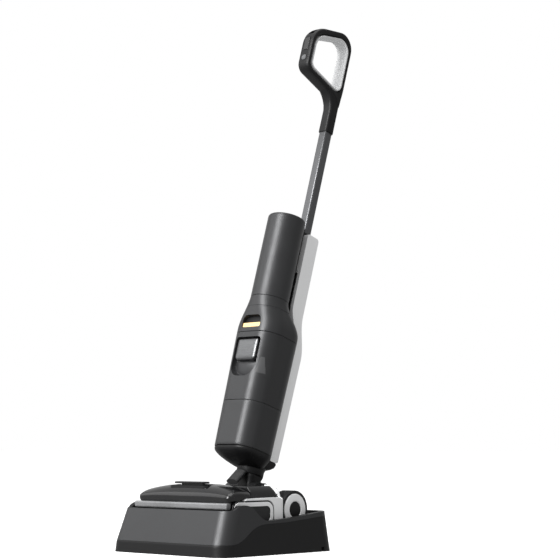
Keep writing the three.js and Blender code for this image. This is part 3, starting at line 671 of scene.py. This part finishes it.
def build_tube():
    axis, bore = 0.01, 36.9
    profile = [(TUBE_LOW, bore), (TUBE_LOW, 38.9), (TUBE_LOW + 0.5, TUBE_RADIUS), (560.5, TUBE_RADIUS)]
    profile += [(564.5, 39.2), (566.4, 38.2), (567, 37.2), (566.2, bore), (TUBE_LOW, bore)]
    tube = solid("battery_tube_shell", turned(profile, "z", TUBE_AXIS, 128), MACHINE)
    dress(tube, "metallic_grey", "machine", ["battery_tube"], bevel=0, angle=35)
    cap = [(558, 36.5), (562.6, 36.5), (564.2, 35.6), (564.9, 33.6), (565, 31), (564.4, 30.4), (564.4, axis),
           (558, axis), (558, 36.5)]
    top_cap = solid("tube_top_cap", turned(cap, "z", TUBE_AXIS, 96), MACHINE)
    dress(top_cap, "black_plastic", "machine", ["top_cap"], bevel=0, angle=35)
    glass = [(564.7, 30), (565.8, 30), (566.2, 29.4), (566.3, axis), (564.7, axis), (564.7, 30)]
    display = solid("display_glass", turned(glass, "z", TUBE_AXIS, 96), MACHINE)
    dress(display, "gloss_black", "machine", ["display_lens"], bevel=0, angle=35)
    gauge = [(566.0, 21.2), (566.45, 21.2), (566.45, 23.4), (566.0, 23.4), (566.0, 21.2)]
    dial = solid("display_gauge", turned(gauge, "z", TUBE_AXIS, 96), MACHINE)
    dress(dial, "light_grey", "machine", bevel=0, angle=35)


def build_foot():
    """Rounded bottom of the body, the chin behind it and the collar that turns on the neck."""
    bowl = []
    for u, hx, hy, corner, y in ((42.2, 27, 22, 20, -5), (43.5, 30, 25.5, 22, -9.5), (46, 34, 30.3, 25, -15),
                                 (49, 38.4, 34.8, 27.5, -20), (52.5, 42.8, 39.2, 29.5, -24.4),
                                 (56, 46.5, 43, 31, -27.9), (59.5, 49.3, 45.8, 31.8, -30.1),
                                 (62.5, 50.8, 47.4, 32, -31.4), (65.5, 51.3, 48, 32, -31.8),
                                 (68.2, 51.4, 48.1, 32, -31.8), (69.0, 51.0, 47.7, 31.7, -31.8),
                                 (69.2, 50.4, 47.1, 31.2, -31.8)):
        bowl.append((u, ring(hx, hy, corner, 0, y, 18)))
    chin = loft([(u, ring(hx, hy, r, 0, y, 10)) for u, hx, hy, r, y in
                 ((44, 17, 8, 7, 10), (46, 20.5, 11.5, 8, 14), (51, 24, 15, 8.5, 20.5),
                  (56.5, 26.2, 17.4, 8.5, 25.5), (62, 27, 18.2, 8.5, 26.9), (65.2, 27, 18.2, 8.5, 26.9),
                  (65.9, 26.4, 17.6, 8, 26.9))])
    collar = [(29.3, 24), (29.3, 26.5), (30.4, 27.6), (40, 27.6), (43, 28.6), (47, 30.6), (47, 0.01),
              (29.3, 0.01), (29.3, 24)]
    foot = solid("body_foot", [loft(bowl), chin, turned(collar, "z", (0, 0), 96)], MACHINE)
    dress(foot, "black_plastic", "machine", ["bottom_shell"], bevel=0, angle=50)


def pocket_outline(half, low, high, low_r, high_r):
    return rounded([(-half, low, low_r), (half, low, low_r),
                    (half, high, high_r), (-half, high, high_r)], 12)


def build_dirty_tank():
    levels = [(TANK_FOOT, 1.0), (69.9, 0.4), (70.7, 0)] + [(u, 0) for u in spaced(76, 156, 8)]
    levels += [(160.9, 0), (161.4, 0.3), (161.6, 0.7)]
    bowl = solid("tank_bowl_shell", stacked(levels), MACHINE)
    dress(bowl, "smoked_tank", "dirty_tank", ["tank_bowl"], bevel=0, angle=50)

    levels = [(TANK_SEAM, 0.7), (162.2, 0.3), (162.7, 0)] + [(u, 0) for u in spaced(168, 300, 14)]
    levels += [(304.6, 0), (305.2, 0.4), (TANK_TOP, 0.9)]
    lid = solid("tank_lid_shell", stacked(levels), MACHINE)
    cutter = loft([(v, pocket_outline(33 + grow, 214 - 2.2 * grow, 294, 26, 7)) for v, grow in
                   ((-71.5, -2.0), (-74, -0.6), (-79, 0.2), (-83, 0.9), (-95, 2.6))], along_y)
    carve(lid, [cutter], place=MACHINE)
    dress(lid, "smoked_tank", "dirty_tank", ["tank_lid"], bevel=0.9, angle=38)

    liner_stack = [(v, pocket_outline(30.6 - t, 217.5 + t, 245.4, 24, 2))
                   for v, t in ((-71.3, 0), (-71.9, 0), (-72.3, 0.5))]
    liner = solid("release_pocket_liner", loft(liner_stack, along_y), MACHINE)
    dress(liner, "metallic_grey", "dirty_tank", bevel=0, angle=50)

    stack = []
    for v, inset in ((-73.6, 0.6), (-74.2, 0), (-80.6, 0), (-82.0, 0.4), (-83.0, 1.3), (-83.8, 3.2), (-84.4, 6),
                     (-84.9, 10), (-85.1, 14)):
        corners = max(9 - inset, 2), max(5 - inset, 1.5)
        stack.append((v, pocket_outline(27.5 - inset, 246 + inset, 291 - inset, *corners)))
    dress(solid("tank_release_button", loft(stack, along_y), MACHINE), "brushed_silver", "release",
          ["release_button"], bevel=0, angle=50)

    verts, faces = [], []
    rows = spaced(219, 252, 6)
    for level in rows:
        arc = section(level, -0.12, 48)[-49:]
        first = round(mix(13, 18, (level - 219) / 33))
        last = round(mix(32, 25, (level - 219) / 33))
        picks = [mix(first, last, i / 8) for i in range(9)]
        verts += [(*arc[round(pick)], level) for pick in picks]
    for row in range(len(rows) - 1):
        for i in range(8):
            a = row * 9 + i
            faces.append((a, a + 1, a + 10, a + 9))
    duct = solid("tank_duct_glint", (verts, faces), MACHINE)
    dress(duct, "smoked_light", "dirty_tank", bevel=0, angle=60)
    pleats = [(u, 30 if i % 2 else 27.6) for i, u in enumerate(spaced(266, 298, 16))]
    profile = [(263, 0.01), (263, 27), *pleats, (300, 27), (300, 0.01), (263, 0.01)]
    paper = solid("tank_filter_pleats", turned(profile, "z", (0, -30), 64), MACHINE)
    dress(paper, "filter_white", "dirty_tank", ["tank_filter"], bevel=0, angle=30)


def build_clean_tank():
    def back_line(level):
        if level < 290:
            return mix(44.7, 49.6, (level - 66.5) / 223.5)
        return mix(49.6, 30, smooth(level, 290, 375))
    near_levels = [72, 150, 240, 310] + spaced(316, 388, 18)
    far_levels = [74, 150, 220, 290] + spaced(295, 375, 16)
    top = rounded([(30, 549.5, 7), (-4.6, 549.5, 5), (-4.6, 400, 0), (30, 400, 0)], 6)[:14]
    foot = rounded([(20.3, 66.5, 4), (44.7, 66.5, 6), (44.9, 75, 0), (20.3, 75, 0)], 6)[:14]
    outline = foot + [(back_line(u), u) for u in far_levels] + top
    outline += [(size_at(u)["back"] + 3.9, u) for u in reversed(near_levels)]
    spine = solid("clean_tank_shell", prism(outline, -27, 27), MACHINE)
    carve(spine, [block(-14.4, 14.4, -20, 24.9, 455, 600)], place=MACHINE)
    carve(spine, [turned([(30, 14.6), (70, 14.6)], "y", FILLER_AXIS, 64)], place=MACHINE)
    floor = turned([(36, 14.5), (47.2, 14.5), (47.2, 0.01), (36, 0.01), (36, 14.5)], "y", FILLER_AXIS, 64)
    seat = solid("clean_tank_filler_seat", floor, MACHINE)
    carve(seat, [turned([(38, 11), (60, 11)], "y", FILLER_AXIS, 64)], place=MACHINE)
    dress(seat, "light_grey", "clean_tank_body", bevel=0, angle=35)
    dress(spine, "light_grey", "clean_tank_body", ["clean_tank"], bevel=3.2, segments=5, angle=50)

    cap = [(40, 0.01), (40, 10.0), (47.6, 10.0), (47.6, 13.6), (51.2, 13.6), (52.2, 12.4), (52.5, 10),
           (51.8, 8.6), (51.8, 0.01), (40, 0.01)]
    tab = loft([(v, ring(2.6, 8.4, 1.6, *FILLER_AXIS, 6)) for v in (51.5, 52.6, 53.4)],
               lambda a, b, v: (a, v, b))
    stopper = solid("clean_tank_cap", [turned(cap, "y", FILLER_AXIS, 64), tab], MACHINE)
    dress(stopper, "soft_black", "cap", ["filler_cap"], bevel=0.3, angle=40)

    socket = solid("stick_socket_sleeve", loft([(u, ring(13.8 - t, 16.15 - t, 5, 0, 8.15, 8)) for u, t in
                                                ((464, 0), (553, 0), (555, 0.6), (556, 1.8))]), MACHINE)
    bore = loft([(u, ring(10.9, 10.9, STICK_CORNER, 0, STICK_V, 8)) for u in (469, 560)])
    carve(socket, [bore], place=MACHINE)
    dress(socket, "black_plastic", "machine", ["stick_socket"], bevel=0.4, angle=40)


# ------------------------------------------------------------------ stick and handle
OUTER = [(23.2, 852, 0), (23.2, 1036, 32), (-101, 994.5, 50), (-101, 895, 20), (-4, 876.5, 20)]


def inner_loop(inset):
    return [(16 - inset, 884.5 + inset, 18 - inset), (16 - inset, 1020 - 1.2 * inset, 28 - inset),
            (-90.5 + inset, 981.5 - 1.2 * inset, 38 - inset), (-90.5 + inset, 903 + inset, 18 - inset)]


def by_angle(points, centre, count):
    """Points of a closed outline where rays from centre cross it, evenly turned."""
    out = []
    for i in range(count):
        angle = 2 * pi * i / count
        ray = Vector((cos(angle), sin(angle)))
        best = None
        for k in range(len(points)):
            a = Vector(points[k]) - centre
            b = Vector(points[(k + 1) % len(points)]) - centre
            side = b - a
            cross = ray.x * side.y - ray.y * side.x
            if abs(cross) < 1e-9:
                continue
            along = (a.x * side.y - a.y * side.x) / cross
            share = (a.x * ray.y - a.y * ray.x) / cross
            if along > 0 and -1e-6 <= share <= 1 + 1e-6:
                best = along if best is None else max(best, along)
        out.append(centre + ray * best)
    return out


def loop_shape(outer, inner, half_width, power, count=180, sides=28):
    """Closed loop between two outlines, its section a soft-cornered rectangle."""
    centre = Vector((-36, 944))
    outside, inside = by_angle(outer, centre, count), by_angle(inner, centre, count)
    verts, faces = [], []
    for out_point, in_point in zip(outside, inside):
        middle = (out_point + in_point) / 2
        reach = (out_point - in_point) / 2
        for i in range(sides):
            angle = 2 * pi * i / sides
            c, s = cos(angle), sin(angle)
            c = copysign(abs(c) ** (2 / power), c)
            s = copysign(abs(s) ** (2 / power), s)
            spot = middle + reach * c
            verts.append((half_width * s, spot.x, spot.y))
    for row in range(count):
        after = (row + 1) % count
        for i in range(sides):
            j = (i + 1) % sides
            faces.append((row * sides + i, row * sides + j, after * sides + j, after * sides + i))
    return verts, faces


def build_handle():
    stick = solid("stick_tube", loft([(u, ring(10.5 - t, 10.5 - t, 4.2, 0, STICK_V, 8)) for u, t in
                                      ((470, 0.4), (471, 0), (821, 0), (822, 0.4))]), MACHINE)
    dress(stick, "stick_metal", "machine", ["stick"], bevel=0, angle=50)

    loop = loop_shape(rounded(OUTER, 16), rounded(inner_loop(0), 16), 15.6, 3.2)
    grip = solid("handle_loop", loop, MACHINE)
    stem = loft([(u, ring(hx, hy, r, 0, y, 10)) for u, hx, hy, r, y in
                 ((793, 12.2, 12.2, 5.5, 10.6), (794, 12.6, 12.6, 6, 10.6), (845, 12.7, 12.7, 6.5, 10.6),
                  (856, 13.1, 14.0, 7, 9.2), (866, 13.8, 16.6, 7.5, 6.6), (874, 14.4, 19.6, 8, 3.6),
                  (881, 14.9, 23.5, 8.5, -0.4), (886, 15.0, 25.0, 9, -2.2))])
    carve(grip, [stem], "UNION", place=MACHINE)
    hole = loft([(u, ring(11, 11, STICK_CORNER, 0, STICK_V, 8)) for u in (785, 822.6)])
    slot = loft([(v, panel(-7.5, 7.5, 939, 969, 3, 6)) for v in (-98, -110)], along_y)
    button = turned([(-110, 7), (-98, 7)], "y", (0, 921), 48)
    carve(grip, [hole, slot, button], place=MACHINE)
    turn = Matrix.Translation((0, -87.5, 985.5)) @ Matrix.Rotation(radians(36), 4, "X")
    key_hole = loft([(z, ring(7, 9.5, 3, 0, 0, 6)) for z in (-2.9, 6)])
    carve(grip, [key_hole], place=MACHINE @ turn)
    dress(grip, "black_plastic", "machine", ["handle_grip"], bevel=0, angle=40)

    lining = loop_shape(rounded(inner_loop(0.35), 16), rounded(inner_loop(6), 16), 15.0, 3.4)
    liner = solid("handle_loop_liner", lining, MACHINE)
    # the liner takes the darkened copy of light_grey, painted shade for the light it gets from the front
    dress(liner, "shaded_liner_grey", "machine", ["handle_liner"], bevel=0, angle=60)

    mode = loft([(v, panel(-7 + t, 7 - t, 939.5 + t, 968.5 - t, 2.6, 6))
                 for v, t in ((-99.7, 0), (-101.4, 0), (-102, 0.8))], along_y)
    dress(solid("mode_key", mode, MACHINE), "gloss_black", "mode_key", ["mode_button"], bevel=0.2)
    power = [(-99.7, 6.5), (-101.5, 6.5), (-102, 5.9), (-101.8, 4.6), (-101.8, 0.01), (-99.7, 0.01),
             (-99.7, 6.5)]
    power_face = solid("power_key_face", turned(power, "y", (0, 921), 64), MACHINE)
    dress(power_face, "brushed_silver", "power_key", ["power_button"], bevel=0, angle=35)
    clean = loft([(z, ring(6.5 - t, 9 - t, 2.6, 0, 0, 6)) for z, t in ((-1.2, 0), (0.7, 0), (1.2, 0.7))])
    clean_face = solid("clean_key_face", clean, MACHINE @ turn)
    dress(clean_face, "gloss_black", "clean_key", ["clean_button"], bevel=0.2)


# ------------------------------------------------------------------ frame nodes that stay
def soft_shading():
    """Node group that shades a frame node smooth, with its real edges kept sharp."""
    group = bpy.data.node_groups.new("soft_shading", "GeometryNodeTree")
    group.interface.new_socket("Geometry", in_out="INPUT", socket_type="NodeSocketGeometry")
    group.interface.new_socket("Geometry", in_out="OUTPUT", socket_type="NodeSocketGeometry")
    source, result = group.nodes.new("NodeGroupInput"), group.nodes.new("NodeGroupOutput")
    faces = group.nodes.new("GeometryNodeSetShadeSmooth")
    edges = group.nodes.new("GeometryNodeSetShadeSmooth")
    edges.domain = "EDGE"
    edges.inputs["Shade Smooth"].default_value = False
    angle = group.nodes.new("GeometryNodeInputMeshEdgeAngle")
    sharp = group.nodes.new("FunctionNodeCompare")
    sharp.operation = "GREATER_THAN"
    sharp.inputs[1].default_value = radians(34)
    link = group.links.new
    link(angle.outputs["Unsigned Angle"], sharp.inputs[0])
    link(source.outputs[0], faces.inputs["Geometry"])
    link(faces.outputs["Geometry"], edges.inputs["Geometry"])
    link(sharp.outputs["Result"], edges.inputs["Selection"])
    link(edges.outputs["Geometry"], result.inputs[0])
    return group


def dress_nodes():
    group = soft_shading()
    for name, node in frame["nodes"].items():
        node.data.materials.clear()
        node.data.materials.append(MATERIALS[FINISH_OF[name]])
        edge = node.modifiers.new("edge", "BEVEL")
        edge.width = 0.4 * MM
        edge.segments = 2
        edge.limit_method = "ANGLE"
        edge.angle_limit = radians(45)
        node.modifiers.new("shading", "NODES").node_group = group


# ------------------------------------------------------------------ stage, light, camera
def aim(obj, target):
    obj.rotation_euler = (Vector(target) - obj.location).to_track_quat("-Z", "Y").to_euler()


def area(name, place, target, width, height, power):
    data = bpy.data.lights.new(name, "AREA")
    data.shape = "RECTANGLE"
    data.size, data.size_y, data.energy = width, height, power
    lamp = bpy.data.objects.new(name, data)
    lamp.location = place
    bpy.context.scene.collection.objects.link(lamp)
    aim(lamp, target)
    return lamp


def build_stage():
    scene = bpy.context.scene
    floor_mesh = bpy.data.meshes.new("floor")
    floor_mesh.from_pydata([(-40, -40, 0), (40, -40, 0), (40, 40, 0), (-40, 40, 0)], [], [(0, 1, 2, 3)])
    floor = bpy.data.objects.new("floor", floor_mesh)
    scene.collection.objects.link(floor)
    paint = material("floor_white", (0.62, 0.62, 0.62), 0.9, vary=0.005, specular=0.0, glow=1.12)
    floor_mesh.materials.append(paint)
    floor.visible_diffuse = False
    floor.visible_glossy = False

    world = bpy.data.worlds.new("studio")
    scene.world = world
    world.use_nodes = True
    nodes, link = world.node_tree.nodes, world.node_tree.links.new
    nodes.clear()
    out = nodes.new("ShaderNodeOutputWorld")
    place = nodes.new("ShaderNodeTexCoord")
    split = nodes.new("ShaderNodeSeparateXYZ")
    link(place.outputs["Generated"], split.inputs["Vector"])

    def room(left, right):
        side = nodes.new("ShaderNodeMapRange")
        side.inputs["From Min"].default_value = -0.9
        side.inputs["From Max"].default_value = 0.3
        side.inputs["To Min"].default_value = left
        side.inputs["To Max"].default_value = right
        link(split.outputs["X"], side.inputs["Value"])
        back = nodes.new("ShaderNodeBackground")
        back.inputs["Color"].default_value = (1, 1, 1, 1)
        link(side.outputs["Result"], back.inputs["Strength"])
        return back.outputs["Background"]

    lit, mirrored = room(0.72, 0.62), room(0.55, 0.34)
    seen = nodes.new("ShaderNodeBackground")
    seen.inputs["Color"].default_value = (1, 1, 1, 1)
    seen.inputs["Strength"].default_value = 1.0
    path = nodes.new("ShaderNodeLightPath")
    bounce = nodes.new("ShaderNodeMixShader")
    link(path.outputs["Is Glossy Ray"], bounce.inputs["Fac"])
    link(lit, bounce.inputs[1])
    link(mirrored, bounce.inputs[2])
    pick = nodes.new("ShaderNodeMixShader")
    link(path.outputs["Is Camera Ray"], pick.inputs["Fac"])
    link(bounce.outputs["Shader"], pick.inputs[1])
    link(seen.outputs["Background"], pick.inputs[2])
    link(pick.outputs["Shader"], out.inputs["Surface"])

    middle = (0, 0.15, 0.5)
    area("front_box", (-2.6, -1.7, 2.2), middle, 2.2, 3.0, 22)
    area("corner_strip", (-0.1, -2.9, 2.45), middle, 1.5, 3.4, 200)
    area("top_box", (-0.4, 0.6, 3.2), middle, 1.8, 1.8, 14)

    data = bpy.data.cameras.new("camera")
    data.sensor_width = 36
    data.lens = 36 * 1600 / 560
    data.clip_end = 200
    camera = bpy.data.objects.new("camera", data)
    camera.location = (2.240, -2.238, 0.204)
    azimuth, pitch = radians(43), radians(5.92)
    ahead = Vector((-sin(azimuth) * cos(pitch), cos(azimuth) * cos(pitch), sin(pitch)))
    camera.rotation_euler = ahead.to_track_quat("-Z", "Y").to_euler()
    scene.collection.objects.link(camera)
    scene.camera = camera
    scene.view_settings.view_transform = "Standard"


build_stage()
dress_nodes()
build_dock()
build_head()
build_neck()
build_upright()
build_dirty_tank()
build_clean_tank()
build_handle()
